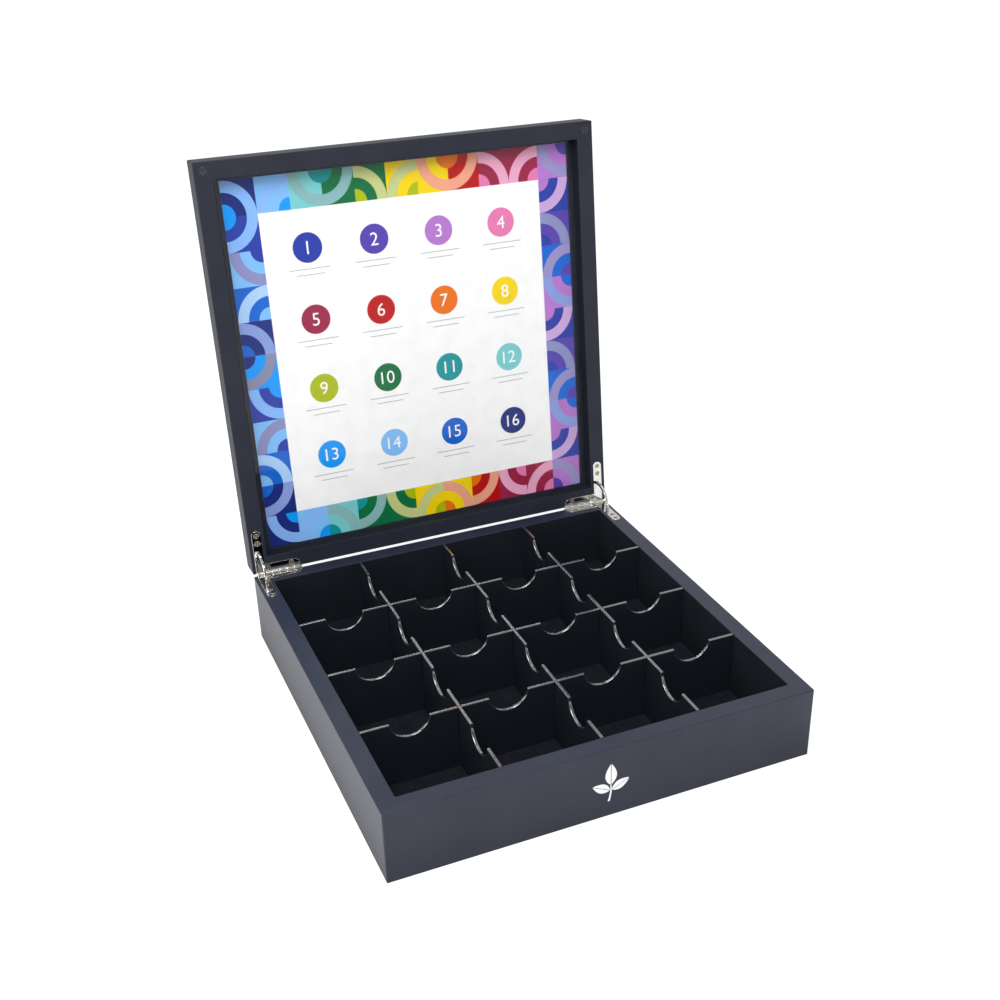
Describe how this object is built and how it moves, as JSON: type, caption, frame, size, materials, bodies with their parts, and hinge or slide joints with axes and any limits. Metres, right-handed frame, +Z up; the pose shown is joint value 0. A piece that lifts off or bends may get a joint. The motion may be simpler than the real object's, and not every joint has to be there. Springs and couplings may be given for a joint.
{
  "type": "tea bag organizer box",
  "caption": "Wooden tea chest in charcoal satin paint: hinged lid with a print under a clear sheet, locking dividers with finger notches, and box hinges with curved stays.",
  "frame": {"origin": "centre of the base's underside, on the surface that it stands on", "axes": "+Z up, +X to the user's right, +Y towards the hinges at the back; the front is towards -Y. The rest pose has the lid open against its stays."},
  "size_m": [0.33, 0.3926, 0.3931],
  "materials": {
    "charcoal_paint": "satin charcoal paint on fine-grained board, edges slightly eased",
    "black_board": "matt black painted board",
    "black_felt": "short-pile black lining",
    "divider_black": "black sheet, satin faces and brighter cut edges",
    "print": "smooth printed card with a many-coloured border",
    "clear_acrylic": "clear polished sheet",
    "clear_silicone": "clear soft pad",
    "bright_steel": "bright plated steel with fine scratches",
    "screw_steel": "warm plated steel, darker in the cross recess"
  },
  "bodies": {
    "base": {"base_front_wall": "charcoal_paint", "base_back_wall": "charcoal_paint", "base_left_wall": "charcoal_paint", "base_right_wall": "charcoal_paint", "base_bottom_board": "black_board", "base_floor_liner": "black_felt", "divider_across_back": "divider_black", "divider_across_middle": "divider_black", "divider_across_front": "divider_black", "divider_along_left": "divider_black", "divider_along_middle": "divider_black", "divider_along_right": "divider_black", "left_hinge_base_leaf": "bright_steel", "left_hinge_pin": "bright_steel", "left_hinge_base_screws": "screw_steel", "right_hinge_base_leaf": "bright_steel", "right_hinge_pin": "bright_steel", "right_hinge_base_screws": "screw_steel"},
    "lid": {"lid_front_rail": "charcoal_paint", "lid_back_rail": "charcoal_paint", "lid_left_rail": "charcoal_paint", "lid_right_rail": "charcoal_paint", "lid_board": "charcoal_paint", "lid_print_card": "print", "lid_clear_sheet": "clear_acrylic", "lid_bumpers": "clear_silicone", "left_hinge_lid_leaf": "bright_steel", "left_hinge_lid_screws": "screw_steel", "right_hinge_lid_leaf": "bright_steel", "right_hinge_lid_screws": "screw_steel"},
    "stay_left": {"left_hinge_stay": "bright_steel"},
    "stay_right": {"right_hinge_stay": "bright_steel"}
  },
  "joints": [
    {"name": "lid_hinge", "type": "hinge", "parent": "base", "child": "lid", "pos_m": [0, 0.1687, 0.0584], "axis": [1, 0, 0], "range_deg": [0, 96]},
    {"name": "left_stay_swing", "type": "hinge", "parent": "base", "child": "stay_left", "pos_m": [0, 0.1687, 0.0584], "axis": [1, 0, 0], "range_deg": [0, 48]},
    {"name": "right_stay_swing", "type": "hinge", "parent": "base", "child": "stay_right", "pos_m": [0, 0.1687, 0.0584], "axis": [1, 0, 0], "range_deg": [0, 48]}
  ],
  "couplings": [
    {"joint": "left_stay_swing", "follows": "lid_hinge", "ratio": 0.5},
    {"joint": "right_stay_swing", "follows": "lid_hinge", "ratio": 0.5}
  ]
}
